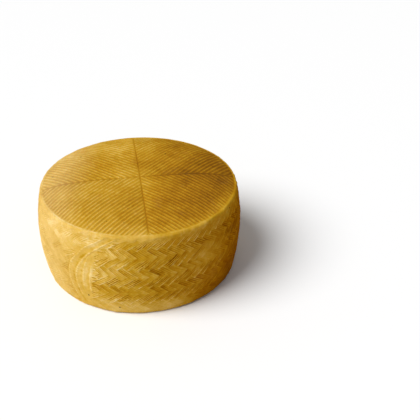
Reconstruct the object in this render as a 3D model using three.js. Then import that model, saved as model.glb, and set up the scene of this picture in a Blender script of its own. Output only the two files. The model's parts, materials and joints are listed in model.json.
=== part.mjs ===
// Aged sheep cheese: one whole wheel with a waxy ochre rind. Its side carries the print of a plaited
// grass band, with the folded end of the band as four curved ridges, and each face a herringbone of
// fine grooves. Millimetres, +Z up, origin under the middle of the wheel on the surface it rests on,
// -Y towards the end of the band. Angles round the side are degrees from -Y, growing towards +X, and
// a depth is measured down from the upper edge of the side.

import * as THREE from "three";

// Overall form of the wheel
const BELLY_RADIUS = 105;
const EDGE_RADIUS = 99.9;
const SIDE_HEIGHT = 90.5;
const DOME_RISE = 8.5;
const DOME_POWER = 4.2;
const UNEVEN = 0.45;

// Rounded shoulder between the side and each face
const SHOULDER_DEPTH = 0.9;
const SHOULDER_INSET = 0.35;
const MARGIN_RADIUS = 98.4;

// Plaited band: strands that each pass over three others, in rows that lean to the right and to the
// left by turns. Their corners lie on a lattice of columns round the side and levels down it.
const STRANDS = 70;
const ROWS = 8;
const OVER = 3;
const LAST_LEVEL = OVER * ROWS + 1;
const STEP = 180 / STRANDS;
const RISE = 3.49;
const FIRST_CORNER = -0.1;
const HIGHEST_CORNER = 3;
const EVEN_LEVEL = 2;
const PLAIT_START = -0.9;
const STRAND_HEIGHT = 0.8;
const STRAND_SINK = 0.35;
const CREST_ALONG = 0.08;
const CREST_ACROSS = 0.82;
const LOWER_END = 1.1;
const UPPER_END = 0.65;

// Places where the print is worn: middle angle and depth, reach of each, and the share that is left
const WORN = [
  { angle: -42, depth: 11, reach: 19, drop: 18, left: 0.1 },
  { angle: -60, depth: 40, reach: 26, drop: 64, left: 0.3 },
  { angle: 49, depth: 32, reach: 13, drop: 14, left: 0.2 },
  { angle: 68, depth: 66, reach: 24, drop: 26, left: 0.55 },
  { angle: 112, depth: 22, reach: 20, drop: 14, left: 0.35 },
  { angle: 160, depth: 70, reach: 24, drop: 18, left: 0.4 },
  { angle: -140, depth: 28, reach: 26, drop: 16, left: 0.4 },
];
const EDGE_FADE = 7;

// Ridges of the band's folded end, from the outermost: the angle and depth of the point furthest
// round, how fast the ridge bends back above and below it, and the depths between which it stands up
const RIDGES = [
  { angle: -35.2, turn: 52, above: 0.0092, below: 0.0045, from: 3, to: 85 },
  { angle: -30.3, turn: 53, above: 0.0093, below: 0.0044, from: 3, to: 78 },
  { angle: -26.1, turn: 57, above: 0.0040, below: 0.0030, from: 27, to: 69 },
  { angle: -22.0, turn: 62, above: 0.0023, below: 0.0020, from: 34, to: 66 },
];
const LONG_RIDGES = 2;
const RIDGE_HEIGHT = 0.5;
const RIDGE_HALF_WIDTH = 1.2;
const RIDGE_FLAT = 0.45;
const RIDGE_FADE = 6;
const FAINT = 0.05;
const FAINT_WIDTH = 0.12;
const RIDGE_GAP = 0.1;
const RIDGE_ROOM = 0.45;
const CUT_CLEARANCE = 0.3;

// Herringbone of grooves on the two faces: four quarters between four seams. The grooves of a quarter
// run nearly along its middle, turned by some degrees, and gather towards it
const PATTERN_RADIUS = 97.6;
const PATTERN_TURN = 10.2;
const PATTERN_CENTRE = new THREE.Vector2(1.5, -5);
const GROOVE_PITCH = 4.33;
const QUARTERS = [
  { turn: 0, gather: 0.001 },
  { turn: 1.4, gather: 0.0008 },
  { turn: -2.7, gather: 0.001 },
  { turn: 0.5, gather: 0.0011 },
];

// Spacing of the grooves along each seam as a share of the pitch, and how fast it closes outwards
const SEAMS = [
  { spacing: 1, closing: 0 },
  { spacing: 1, closing: 0 },
  { spacing: 1.01, closing: 0 },
  { spacing: 1.02, closing: 0.0022 },
];
const TOP_GROOVES = { depth: 0.85, flat: 0.2, step: 24 };
const BASE_GROOVES = { depth: 0.8, flat: 0.28, step: 2 * BELLY_RADIUS };
const SLIVER = 0.7;

const toRadians = THREE.MathUtils.degToRad;
const UP = new THREE.Vector3(0, 0, 1);
const DOWN = new THREE.Vector3(0, 0, -1);

// The rind's points and triangles. A triangle is turned so that it faces the direction it is given.
class Skin {
  constructor() {
    this.points = [];
    this.triangles = [];
  }

  point(x, y, z) {
    this.points.push(new THREE.Vector3(x, y, z));
    return this.points.length - 1;
  }

  triangle(a, b, c, outward) {
    const [p, q, r] = [a, b, c].map((i) => this.points[i]);
    const normal = new THREE.Vector3().subVectors(q, p).cross(new THREE.Vector3().subVectors(r, p));
    this.triangles.push(normal.dot(outward) > 0 ? [a, b, c] : [a, c, b]);
  }

  sideTriangle(a, b, c) {
    const middle = new THREE.Vector3();
    [a, b, c].forEach((i) => middle.add(this.points[i]));
    this.triangle(a, b, c, middle.setZ(0));
  }

  geometry() {
    const geometry = new THREE.BufferGeometry();
    const flat = this.points.flatMap((p) => [p.x, p.y, p.z]);
    geometry.setAttribute("position", new THREE.Float32BufferAttribute(flat, 3));
    geometry.setIndex(this.triangles.flat());
    geometry.computeVertexNormals();
    return geometry;
  }
}

// Fills the strip between two rows of points. Each row comes as [point, place] pairs in rising order
// of place, and the row whose next place comes first is the one that moves on.
function bridge(first, second, draw) {
  let i = 0;
  let j = 0;
  while (i < first.length - 1 || j < second.length - 1) {
    const firstMoves = j === second.length - 1
      || (i < first.length - 1 && first[i + 1][1] <= second[j + 1][1]);
    if (firstMoves) {
      draw(first[i][0], first[i + 1][0], second[j][0]);
      i += 1;
    } else {
      draw(first[i][0], second[j + 1][0], second[j][0]);
      j += 1;
    }
  }
}

function angleOf(point) {
  return Math.atan2(point.x, -point.y);
}

// Fills the strip between two closed rings, each a list of points in order of angle.
function bridgeRings(skin, first, second, draw) {
  const placed = (ring) => {
    const start = ring.reduce((low, id, k) => {
      return angleOf(skin.points[id]) < angleOf(skin.points[ring[low]]) ? k : low;
    }, 0);
    const turned = [...ring.slice(start), ...ring.slice(0, start)];
    const pairs = turned.map((id) => [id, angleOf(skin.points[id])]);
    return [...pairs, [pairs[0][0], pairs[0][1] + 2 * Math.PI]];
  };
  bridge(placed(first), placed(second), draw);
}

// Repeatable scatter between -1 and 1 for a pair of whole numbers.
function scatter(a, b) {
  const value = Math.sin(a * 12.9898 + b * 78.233) * 43758.5453;
  return 2 * (value - Math.floor(value)) - 1;
}

function angleBetween(a, b) {
  return Math.abs(THREE.MathUtils.euclideanModulo(a - b + 180, 360) - 180);
}

// Share of the print that is left at a place on the side.
function printLeft(angle, depth) {
  const { smoothstep } = THREE.MathUtils;
  const nearEdge = Math.min(depth, SIDE_HEIGHT - depth);
  return WORN.reduce((share, worn) => {
    const away = Math.hypot(angleBetween(angle, worn.angle) / worn.reach, (depth - worn.depth) / worn.drop);
    return share * (worn.left + (1 - worn.left) * smoothstep(away, 0.55, 1.1));
  }, 0.25 + 0.75 * smoothstep(nearEdge, 0, EDGE_FADE));
}

// Slow unevenness of a handmade wheel, as a change of radius.
function unevenness(angle, depth) {
  const turn = toRadians(angle);
  return UNEVEN * (0.6 * Math.sin(2 * turn + 0.7) + 0.5 * Math.sin(5 * turn + depth / 31)
    + 0.4 * Math.sin(9 * turn - depth / 17 + 2));
}

// Barrel-shaped side: a point at an angle and a depth, stood out from the rind by a height.
function sidePoint(skin, angle, depth, height) {
  const fromMiddle = 2 * depth / SIDE_HEIGHT - 1;
  const barrel = BELLY_RADIUS - (BELLY_RADIUS - EDGE_RADIUS) * fromMiddle ** 2;
  const radius = barrel + unevenness(angle, depth) + height;
  const turn = toRadians(angle);
  return skin.point(radius * Math.sin(turn), -radius * Math.cos(turn), SIDE_HEIGHT - depth);
}

// Depth of a level. The first levels are closer together, to stay below the shoulder.
function cornerDepth(level) {
  const evenDepth = FIRST_CORNER + EVEN_LEVEL * RISE;
  const share = Math.min(level / EVEN_LEVEL, 1);
  const beyond = Math.max(level - EVEN_LEVEL, 0);
  return HIGHEST_CORNER + (evenDepth - HIGHEST_CORNER) * share + beyond * RISE;
}

function cornerAngle(column) {
  return PLAIT_START + column * STEP;
}

// Corners of the strands: a lattice of columns and levels that is filled where their sum is even.
class Lattice {
  constructor(skin) {
    this.skin = skin;
    this.corners = new Map();
  }

  corner(column, level) {
    const wrapped = THREE.MathUtils.euclideanModulo(column, 2 * STRANDS);
    const key = `${wrapped}:${level}`;
    if (!this.corners.has(key)) {
      const angle = cornerAngle(column);
      const depth = cornerDepth(level);
      const sink = -STRAND_SINK * printLeft(angle, depth);
      this.corners.set(key, sidePoint(this.skin, angle, depth, sink));
    }
    return this.corners.get(key);
  }
}

// How far a ridge stands up at a depth, from 0 to 1.
function ridgeShare(ridge, depth) {
  const { smoothstep } = THREE.MathUtils;
  return smoothstep(depth, ridge.from - RIDGE_FADE / 2, ridge.from + RIDGE_FADE / 2)
    * (1 - smoothstep(depth, ridge.to - RIDGE_FADE, ridge.to + RIDGE_FADE));
}

function ridgeAngle(ridge, depth) {
  const bend = depth < ridge.turn ? ridge.above : ridge.below;
  return ridge.angle + bend * (depth - ridge.turn) ** 2;
}

// The column at which the plait ends beside the ridges, for each level: as near to the ridges as the
// lattice allows. The side is 1 to the right of the ridges and -1 to the left.
function cutColumns(side) {
  const isClear = (column, level) => RIDGES.every((ridge, k) => {
    const depth = cornerDepth(level);
    const away = side * (cornerAngle(column) - ridgeAngle(ridge, depth));
    const room = side > 0 ? RIDGE_ROOM * (RIDGES.length - 1 - k) : 0;
    const isGone = k >= LONG_RIDGES && ridgeShare(ridge, depth) < FAINT;
    return isGone || away > RIDGE_HALF_WIDTH + CUT_CLEARANCE + room;
  });
  const levels = Array.from({ length: LAST_LEVEL + 1 }, (_, k) => (side > 0 ? k : LAST_LEVEL - k));
  let column = levels[0] % 2 - side * STRANDS;
  while (!isClear(column, levels[0])) {
    column += 2 * side;
  }
  const columns = [];
  columns[levels[0]] = column;
  levels.slice(1).forEach((level) => {
    column += isClear(column - side, level) ? -side : side;
    columns[level] = column;
  });
  return columns;
}

const RIGHT_CUT = cutColumns(1);
const LEFT_CUT = cutColumns(-1);

function inPlait([column, level]) {
  const right = RIGHT_CUT[level];
  const turned = column - 2 * STRANDS * Math.floor((column - right) / (2 * STRANDS));
  return turned <= LEFT_CUT[level] + 2 * STRANDS;
}

// Places round one strand on the lattice, from its lower end up: those along its tucked left edge
// and those along its raised right edge, with the place at a share along and across the strand.
function strandOutline(row, column) {
  const low = OVER * (row + 1);
  const units = Array.from({ length: OVER + 1 }, (_, k) => k);
  if (row % 2 === 0) {
    return {
      tucked: units.map((k) => [column + k, low - k]),
      raised: units.map((k) => [column + 1 + k, low + 1 - k]),
      at: (along, across) => [column + OVER * along + across, low - OVER * along + across],
    };
  }
  return {
    tucked: units.map((k) => [column - k, low + 1 - k]),
    raised: units.map((k) => [column + 1 - k, low - k]),
    at: (along, across) => [column - OVER * along + across, low + 1 - OVER * along - across],
  };
}

// One strand: a low roof whose crest runs close to its right edge and is higher at its lower end, so
// that it overlaps the next strand and the next row. At the folded end a strand that is cut short
// stays flat.
function strand(skin, lattice, row, column) {
  const { tucked, raised, at } = strandOutline(row, column);
  const units = tucked.slice(1).map((_, k) => [tucked[k], raised[k], raised[k + 1], tucked[k + 1]]);
  const kept = units.filter((unit) => unit.every(inPlait));
  if (kept.length < OVER) {
    kept.forEach((unit) => {
      const [a, b, c, d] = unit.map((place) => lattice.corner(...place));
      skin.sideTriangle(a, b, c);
      skin.sideTriangle(a, c, d);
    });
    return;
  }
  const crest = (along, kind, lift) => {
    const [columns, levels] = at(along, CREST_ACROSS);
    const angle = cornerAngle(columns);
    const depth = cornerDepth(levels);
    const uneven = 1 + 0.25 * scatter(2 * column + kind, row);
    const height = STRAND_HEIGHT * lift * uneven - STRAND_SINK;
    return sidePoint(skin, angle, depth, height * printLeft(angle, depth));
  };
  const p = crest(CREST_ALONG, 0, LOWER_END);
  const q = crest(1 - CREST_ALONG, 1, UPPER_END);
  const [a, b, c, d] = tucked.map((place) => lattice.corner(...place));
  const [e, f, g, h] = raised.map((place) => lattice.corner(...place));
  const left = [[a, b, p], [b, c, p], [c, q, p], [c, d, q]];
  const right = [[e, f, p], [f, g, p], [g, q, p], [g, h, q]];
  [...left, ...right, [d, h, q], [a, e, p]].forEach((face) => skin.sideTriangle(...face));
}

function plait(skin, lattice) {
  for (let row = 0; row < ROWS; row += 1) {
    for (let column = 1; column < 2 * STRANDS; column += 2) {
      strand(skin, lattice, row, column);
    }
  }
}

// The ridges at a depth, with their middle angles and half widths. A ridge that has faded out keeps
// a narrow place between its neighbour and the edge of the plait.
function ridgePlaces(depth, limit) {
  let edge = -Infinity;
  return RIDGES.map((ridge, k) => {
    const share = ridgeShare(ridge, depth);
    const half = RIDGE_HALF_WIDTH * (FAINT_WIDTH + (1 - FAINT_WIDTH) * share);
    const highest = limit - RIDGE_ROOM * (RIDGES.length - k) + half;
    const middle = Math.max(Math.min(ridgeAngle(ridge, depth), highest), edge + RIDGE_GAP + half);
    edge = middle + half;
    return { middle, half, share };
  });
}

// The folded end of the band: one row of points at each level of the lattice, from the plait on the
// left over the four ridges to the plait on the right.
function foldedEnd(skin, lattice) {
  const rows = RIGHT_CUT.map((cut, level) => {
    const depth = cornerDepth(level);
    const ridgePoints = ridgePlaces(depth, cornerAngle(cut)).flatMap(({ middle, half, share }) => {
      const high = RIDGE_HEIGHT * share - STRAND_SINK / 2;
      return [
        sidePoint(skin, middle - half, depth, -STRAND_SINK / 2),
        sidePoint(skin, middle - RIDGE_FLAT * half, depth, high),
        sidePoint(skin, middle + RIDGE_FLAT * half, depth, high),
        sidePoint(skin, middle + half, depth, -STRAND_SINK / 2),
      ];
    });
    return [lattice.corner(LEFT_CUT[level], level), ...ridgePoints, lattice.corner(cut, level)];
  });
  for (let level = 1; level < rows.length; level += 1) {
    const [above, below] = [rows[level - 1], rows[level]];
    for (let k = 1; k < above.length; k += 1) {
      skin.sideTriangle(above[k - 1], above[k], below[k - 1]);
      skin.sideTriangle(above[k], below[k], below[k - 1]);
    }
  }
  return rows;
}

// Closed line of points along the upper or the lower end of the plait and the folded end.
function sideBorder(lattice, outerLevel, innerLevel, foldRow) {
  const border = [];
  const columns = LEFT_CUT[outerLevel] + 2 * STRANDS - RIGHT_CUT[outerLevel];
  for (let k = 0; k < columns; k += 1) {
    const column = RIGHT_CUT[outerLevel] + k;
    border.push(lattice.corner(column, k % 2 === 0 ? outerLevel : innerLevel));
  }
  return [...border, ...foldRow.slice(0, -1)];
}

// Ring of points round the wheel at one radius and height.
function ring(skin, radius, z) {
  return Array.from({ length: 2 * STRANDS }, (_, k) => {
    const angle = cornerAngle(k);
    const reach = radius + unevenness(angle, SIDE_HEIGHT - z);
    const turn = toRadians(angle);
    return skin.point(reach * Math.sin(turn), -reach * Math.cos(turn), z);
  });
}

// Lines along one quarter's grooves, from its middle out to a limit: the two edges of each ridge's
// flat top and the bottom of the groove between two ridges. The first ridge lies on the middle.
function grooveLines({ depth, flat }, limit) {
  const lines = [{ offset: 0, sink: 0 }];
  for (let k = 0; (k + 1 - flat) * GROOVE_PITCH < limit; k += 1) {
    lines.push({ offset: (k + flat) * GROOVE_PITCH, sink: 0 });
    lines.push({ offset: (k + 0.5) * GROOVE_PITCH, sink: depth });
    lines.push({ offset: (k + 1 - flat) * GROOVE_PITCH, sink: 0 });
  }
  return lines;
}

// How far the pattern's border lies from a start, in a direction.
function wayToBorder(start, direction) {
  const along = start.dot(direction);
  return Math.sqrt(along ** 2 + PATTERN_RADIUS ** 2 - start.lengthSq()) - along;
}

// Herringbone on one face. The lines of a quarter start on the two seams beside it, where they meet
// those of the next quarter, and end on the pattern's border. Returns the border's points in order.
function herringbone(skin, surface, grooves, outward) {
  const place = (spot, sink) => skin.point(spot.x, spot.y, surface(spot, sink));
  const seams = SEAMS.map(({ spacing, closing }, quarter) => {
    const turn = toRadians(PATTERN_TURN + 90 * quarter);
    const direction = new THREE.Vector2(Math.cos(turn), Math.sin(turn));
    const length = wayToBorder(PATTERN_CENTRE, direction);
    const at = (offset) => {
      const reach = Math.SQRT2 * (spacing - closing * offset) * offset;
      return direction.clone().multiplyScalar(reach).add(PATTERN_CENTRE);
    };
    const offsetAt = (reach) => {
      const whole = reach / Math.SQRT2;
      return 2 * whole / (spacing + Math.sqrt(spacing ** 2 - 4 * closing * whole));
    };
    const inner = grooveLines(grooves, offsetAt(length - SLIVER)).slice(1);
    const lines = [...inner, { offset: offsetAt(length), sink: 0 }];
    return lines.map(({ offset, sink }) => {
      return { offset, sink, start: at(offset), id: place(at(offset), sink) };
    });
  });
  const middle = { offset: 0, sink: 0, start: PATTERN_CENTRE, id: place(PATTERN_CENTRE, 0) };
  const draw = (a, b, c) => skin.triangle(a, b, c, outward);
  const border = [];
  seams.forEach((right, quarter) => {
    const left = seams[(quarter + 1) % 4];
    const turn = toRadians(PATTERN_TURN + 90 * quarter + 45 + QUARTERS[quarter].turn);
    const direction = new THREE.Vector2(Math.cos(turn), Math.sin(turn));
    const sideways = new THREE.Vector2(-direction.y, direction.x);
    const rows = [...right.slice().reverse(), middle, ...left].map((line, n) => {
      const offset = n < right.length ? -line.offset : line.offset;
      const gathered = sideways.clone().multiplyScalar(-QUARTERS[quarter].gather * offset);
      const heading = gathered.add(direction).normalize();
      const length = wayToBorder(line.start, heading);
      const steps = length < SLIVER ? 0 : Math.max(1, Math.round(length / grooves.step));
      const row = [[line.id, line.offset]];
      for (let k = 1; k <= steps; k += 1) {
        const way = length * k / steps;
        const spot = heading.clone().multiplyScalar(way).add(line.start);
        row.push([place(spot, line.sink), line.offset + way]);
      }
      return row;
    });
    for (let k = 1; k < rows.length; k += 1) {
      bridge(rows[k - 1], rows[k], draw);
    }
    border.push(...rows.slice(0, -1).map((row) => row[row.length - 1][0]));
  });
  return border;
}

// Heights of the two faces: the domed top, and the base on which the wheel rests.
function topSurface(spot, sink) {
  const out = Math.min(1, spot.length() / PATTERN_RADIUS);
  return SIDE_HEIGHT + DOME_RISE * (1 - out ** DOME_POWER) - sink;
}

function baseSurface(spot, sink) {
  return sink;
}

// Shoulder and face at one end of the wheel, joined to the border of the side.
function endFace(skin, border, edgeZ, faceZ, outward, pattern) {
  const edge = ring(skin, EDGE_RADIUS - SHOULDER_INSET, edgeZ);
  const margin = ring(skin, MARGIN_RADIUS, faceZ);
  const drawSide = (a, b, c) => skin.sideTriangle(a, b, c);
  const drawFace = (a, b, c) => skin.triangle(a, b, c, outward);
  bridgeRings(skin, border, edge, drawSide);
  bridgeRings(skin, edge, margin, drawFace);
  bridgeRings(skin, margin, pattern, drawFace);
}

function wheelGeometry() {
  const skin = new Skin();
  const lattice = new Lattice(skin);
  plait(skin, lattice);
  const rows = foldedEnd(skin, lattice);
  const topBorder = sideBorder(lattice, 0, 1, rows[0]);
  const baseBorder = sideBorder(lattice, LAST_LEVEL, LAST_LEVEL - 1, rows[LAST_LEVEL]);
  const topPattern = herringbone(skin, topSurface, TOP_GROOVES, UP);
  const basePattern = herringbone(skin, baseSurface, BASE_GROOVES, DOWN);
  endFace(skin, topBorder, SIDE_HEIGHT - SHOULDER_DEPTH, SIDE_HEIGHT, UP, topPattern);
  endFace(skin, baseBorder, SHOULDER_DEPTH, 0, DOWN, basePattern);
  return skin.geometry();
}

// Moves a geometry so that its box stands on the origin.
function standOnOrigin(geometry) {
  geometry.computeBoundingBox();
  const box = geometry.boundingBox;
  const middle = box.getCenter(new THREE.Vector3());
  geometry.translate(-middle.x, -middle.y, -box.min.z);
  return geometry;
}

const rind = new THREE.MeshStandardMaterial({ color: 0xc99a45, roughness: 0.5, metalness: 0 });

const cheese = new THREE.Group();
const wheel = new THREE.Mesh(standOnOrigin(wheelGeometry()), rind);
wheel.name = "cheese_wheel";
cheese.add(wheel);

export default cheese;
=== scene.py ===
"""Aged sheep cheese: one whole wheel with a waxy ochre rind, on a pale floor in soft light from the left.

The side carries the print of a plaited grass band, whose folded end shows as four curved ridges, and
each face has a herringbone of fine grooves. Shapes are worked out in millimetres. Angles round the side
are degrees from -Y, growing towards +X, and a depth is measured down from the upper edge of the side.
"""

import json
import math

import bpy
import numpy as np
from mathutils import Matrix, Vector

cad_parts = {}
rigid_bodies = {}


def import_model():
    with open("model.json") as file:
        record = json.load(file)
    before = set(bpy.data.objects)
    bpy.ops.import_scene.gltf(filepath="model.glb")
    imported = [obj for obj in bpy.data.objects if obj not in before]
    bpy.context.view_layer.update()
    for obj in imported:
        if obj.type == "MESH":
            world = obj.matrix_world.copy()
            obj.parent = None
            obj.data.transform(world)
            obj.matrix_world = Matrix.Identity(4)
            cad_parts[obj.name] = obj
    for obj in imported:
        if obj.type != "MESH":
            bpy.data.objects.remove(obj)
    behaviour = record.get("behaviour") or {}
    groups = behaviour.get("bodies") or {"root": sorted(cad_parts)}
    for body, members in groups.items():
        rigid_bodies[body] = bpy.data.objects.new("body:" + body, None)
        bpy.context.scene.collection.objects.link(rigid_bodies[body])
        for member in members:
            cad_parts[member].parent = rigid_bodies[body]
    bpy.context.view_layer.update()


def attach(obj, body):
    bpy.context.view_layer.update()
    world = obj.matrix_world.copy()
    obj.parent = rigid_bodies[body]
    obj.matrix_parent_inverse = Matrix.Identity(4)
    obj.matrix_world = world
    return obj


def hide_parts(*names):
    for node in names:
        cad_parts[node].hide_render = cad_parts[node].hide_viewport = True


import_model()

MM = 0.001

# Overall form of the wheel
BELLY_RADIUS = 105.0
EDGE_RADIUS = 99.9
SIDE_HEIGHT = 90.5
DOME_RISE = 8.5
DOME_POWER = 4.2
UNEVEN = 0.45

# Plaited band: strands that each pass over three others, in rows that lean to the right and to the
# left by turns. Their corners lie on a lattice of columns round the side and levels down it.
STRANDS = 70
ROUND = 2 * STRANDS
ROWS = 8
OVER = 3
LAST_LEVEL = OVER * ROWS + 1
STEP = 180 / STRANDS
RISE = 3.49
FIRST_CORNER = -0.1
HIGHEST_CORNER = 3.0
EVEN_LEVEL = 2
PLAIT_START = -0.9
STRAND_HEIGHT = 0.36
STRAND_SINK = 0.24
STRAND_WIDTH = 5.6
STRAND_UNIT = 5.9
CELL_SPLITS = np.array([0, 0.1, 0.25, 0.5, 0.75, 0.9, 1])
CELL_PARTS = len(CELL_SPLITS) - 1
KEY_SHIFT = 100_000
KEY_BASE = 1_000_000

# Height of a strand from its tucked left edge to its raised right edge, and from its lower end, which
# lies over the next row, to its upper end
ACROSS_AT = [0, 0.1, 0.25, 0.5, 0.75, 0.9, 1]
ACROSS_HEIGHT = [0.26, 0.32, 0.44, 0.6, 0.82, 1, 0.26]
ALONG_AT = [0, 0.033, 0.083, 0.17, 0.5, 0.7, 0.85, 0.967, 1]
ALONG_HEIGHT = [0.1, 0.8, 1, 1, 0.95, 0.76, 0.55, 0.35, 0.1]
LEFT_LEAN_HEIGHT = 0.3

# Places where the print is worn: middle angle and depth, reach and drop of each, and the share left
WORN = [
    (-45, 13, 22, 22, 0.04),
    (-31, 7, 20, 12, 0.1),
    (-58, 44, 28, 64, 0.16),
    (49, 32, 13, 14, 0.2),
    (68, 66, 24, 26, 0.55),
    (112, 22, 20, 14, 0.35),
    (160, 70, 24, 18, 0.4),
    (-140, 28, 26, 16, 0.4),
]
WORN_EDGE = (0.55, 1.1)

# Depths between which the print fades towards the upper and the lower edge, and the share left there
UPPER_FADE = (1.0, 13.0)
UPPER_LEFT = 0.1
LOWER_FADE = (68.0, 81.0)
LOWER_LEFT = 0.25

# Places where the rind is lighter, or darker where the amount is below 0: middle angle and depth, reach
# and drop of each, and how much. Some are the rind's own tone, the light ones round the left of the side
# are partly painted light from the lamp on the left, and the dark ones on the right are painted shade.
TONE_LIGHT_AND_SHADE_PATCHES = [
    (-62, 45, 72, 150, 0.29),
    (-75, 70, 50, 50, 0.15),
    (-36, 8, 36, 20, 0.42),
    (-8, 80, 50, 24, 0.42),
    (-14, 36, 30, 44, 0.58),
    (-118, 45, 50, 100, 0.45),
    (8, 9, 36, 20, 0.4),
    (26, 42, 26, 44, 0.2),
    (-28, 48, 16, 50, 0.15),
    (48, 30, 22, 30, 0.26),
    (54, 11, 26, 14, 0.42),
    (68, 45, 50, 120, -0.5),
    (60, 78, 40, 46, -0.65),
    (80, 40, 30, 90, -0.4),
    (150, 40, 50, 90, 0.35),
    (-150, 70, 40, 60, 0.25),
]
WORN_LIGHT = 0.22

# Lightness of the faces: at the middle, how much more at the border, the painted falloff of the light
# towards the right, the painted shade on the right with the places where it starts and ends, and the glow
# near one side of the border
FACE_LIGHT = 0.06
FACE_OUTER_LIGHT = 0.12
FACE_LIGHT_FALLOFF = 0.06
FACE_SHADE = 1.05
SHADE_ENDS = (-22, 90)
GLOW = 0.5
GLOW_RADII = (82, 96)
GLOW_ANGLE = 42
GLOW_REACH = (60, 25)

# Pale rim of the top, with a painted highlight: the radii where it starts, is full, and ends, and the angle
# where it is palest, towards the lamp
RIM_PALE_AND_HIGHLIGHT = 0.4
RIM_START = (97.0, 97.6)
RIM_END = (98.2, 99.2)
RIM_HIGHLIGHT_ANGLE = -45

# Ridges of the band's folded end, from the outermost: the angle and depth of the point furthest
# round, how fast the ridge bends back above and below it, and the depths between which it stands up
RIDGES = [
    (-35.2, 52, 0.0092, 0.0045, 3, 85),
    (-30.3, 53, 0.0093, 0.0044, 3, 78),
    (-26.1, 57, 0.0040, 0.0030, 27, 69),
    (-22.0, 62, 0.0023, 0.0020, 34, 66),
]
LONG_RIDGES = 2
SHORT_SHARE = 0.7
RIDGE_HEIGHT = 0.2
RIDGE_HALF_WIDTH = 0.95
RIDGE_FADE = 6.0
RIDGE_PROFILE = [(-1, 0), (-0.7, 0.45), (-0.35, 0.86), (0, 1), (0.35, 0.86), (0.7, 0.45), (1, 0)]
FAINT = 0.05
FAINT_WIDTH = 0.12
RIDGE_GAP = 0.12
RIDGE_ROOM = 0.45
RIDGE_RUB = 0.26
RIDGE_STAIN = 0.9
GAP_STAINS = [(0.33, 0.1), (0.67, 0.6)]
GAP_DEPTH = 0.1
CUT_REACH = 1.5
MARGIN_PARTS = 9
MARGIN_ROOM = 0.03
STITCH_PITCH = 2.2
STITCH_HEIGHT = 0.025
STITCH_FIBRES = 0.15

# Herringbone of grooves on the two faces: four quarters that meet in seams. Of each seam: how far apart
# the grooves meet it, as a share of the even distance, and how fast they close up outwards. Of each
# quarter: how far its grooves are turned from its middle, and how fast they gather towards that.
PATTERN_RADIUS = 97.6
PATTERN_TURN = 10.2
PATTERN_CENTRE = np.array([1.5, -5.0])
GROOVE_PITCH = 4.33
SEAM_SPACING = [1.0, 1.0, 1.01, 1.02]
SEAM_CLOSING = [0.0, 0.0, 0.0, 0.0022]
QUARTER_TURN = [0.0, 1.4, -2.7, 0.5]
GATHER = [0.0010, 0.0008, 0.0010, 0.0011]
SEAM_WIDTH = 1.3
SEAM_DEPTH = 0.8
SEAM_STATIONS = [0.9, 2]
RIM_STATIONS = [4.6, 3.2, 2.2, 1.3, 0.5, 0]

# Section across one groove as (share of the pitch, share of the depth), and the depth and the distance
# between points along the groove
TOP_PROFILE = [
    (0, 0), (0.12, 0.14), (0.24, 0.5), (0.36, 0.86), (0.5, 1), (0.64, 0.86), (0.76, 0.5), (0.88, 0.14),
]
TOP_DEPTH = 0.75
TOP_STEP = 5.6
BASE_PROFILE = [(0, 0), (0.28, 0.1), (0.5, 1), (0.72, 0.1)]
BASE_DEPTH = 0.8
BASE_STEP = 9.0

# Rounded shoulders as (radius, depth) from the side inwards
TOP_SHOULDER = [(100.4, 2.0), (100.12, 1.2), (99.65, 0.6), (99.1, 0.22), (98.5, 0.03)]
BASE_SHOULDER = [(100.15, 88.4), (99.6, 89.5), (98.9, 90.2)]
PLAIN_MARKS = (0.03, 0.0, 0.0, 0.5)


def smoothstep(value, low, high):
    share = np.clip((value - low) / (high - low), 0, 1)
    return share * share * (3 - 2 * share)


def at_least(least, share):
    """A share from 0 to 1, made to run from a least value to 1."""
    return least + (1 - least) * share


def away_from(angle, depth, middle, level, reach, drop):
    """How far places on the side are from a middle, where 1 is the reach round it or the drop down."""
    away_angle = np.abs((angle - middle + 180) % 360 - 180)
    return np.hypot(away_angle / reach, (depth - level) / drop)


def scatter(seed, *whole):
    """Repeatable scatter between 0 and 1 for whole numbers."""
    mixed = sum(np.asarray(n) * k for n, k in zip(whole, (12.9898, 78.233, 37.719)))
    value = np.sin(mixed + seed * 4.1414) * 43758.5453
    return value - np.floor(value)


def ripple(places, size, seed, waves=14):
    """Smooth scatter about 0 over places in millimetres, whose swells are about size across."""
    rng = np.random.default_rng(seed)
    ways = rng.normal(size=(waves, places.shape[-1]))
    ways /= np.linalg.norm(ways, axis=1, keepdims=True)
    ways *= rng.uniform(0.6, 1.5, size=(waves, 1)) * 2 * math.pi / size
    starts = rng.uniform(0, 2 * math.pi, size=waves)
    return np.sin(places @ ways.T + starts).sum(-1) / math.sqrt(waves / 2)


def round_wheel(angle, depth, radius=BELLY_RADIUS):
    """Points of an even wheel."""
    turn = np.radians(angle)
    parts = np.broadcast_arrays(radius * np.sin(turn), -radius * np.cos(turn), SIDE_HEIGHT - depth)
    return np.stack(parts, -1)


def print_left(angle, depth):
    """Share of the print that is left at a place on the side."""
    share = at_least(UPPER_LEFT, smoothstep(depth, *UPPER_FADE))
    share = share * (1 - (1 - LOWER_LEFT) * smoothstep(depth, *LOWER_FADE))
    for *place, left in WORN:
        share = share * at_least(left, smoothstep(away_from(angle, depth, *place), *WORN_EDGE))
    return share


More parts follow.
